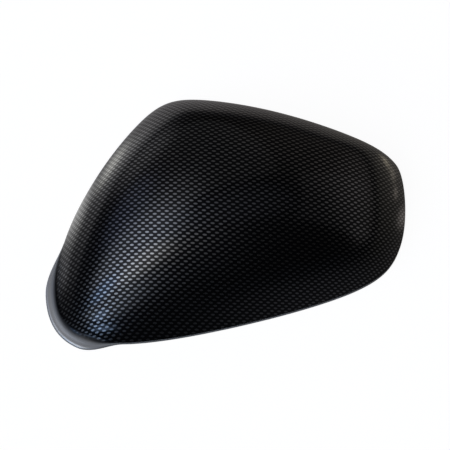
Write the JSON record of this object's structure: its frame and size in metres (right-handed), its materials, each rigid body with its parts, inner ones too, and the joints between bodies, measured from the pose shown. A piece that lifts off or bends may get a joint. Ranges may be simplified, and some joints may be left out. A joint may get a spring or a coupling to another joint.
{
  "type": "wing mirror cover",
  "caption": "One-piece moulded cover for a car door mirror: a domed gloss shell with a flared corner lip, snap hooks, locating pegs and crown ribs inside.",
  "frame": {"origin": "middle of the rim's box, on the rim plane", "axes": "+X from the big end to the small end, +Y from the near side to the far side, +Z from the open side up to the crown"},
  "size_m": [0.2424, 0.1828, 0.072],
  "materials": {
    "cover": "black moulded plastic with a printed carbon weave under clear gloss lacquer outside, satin black inside"
  },
  "bodies": {
    "root": {"mirror_cover": "cover"}
  },
  "joints": []
}
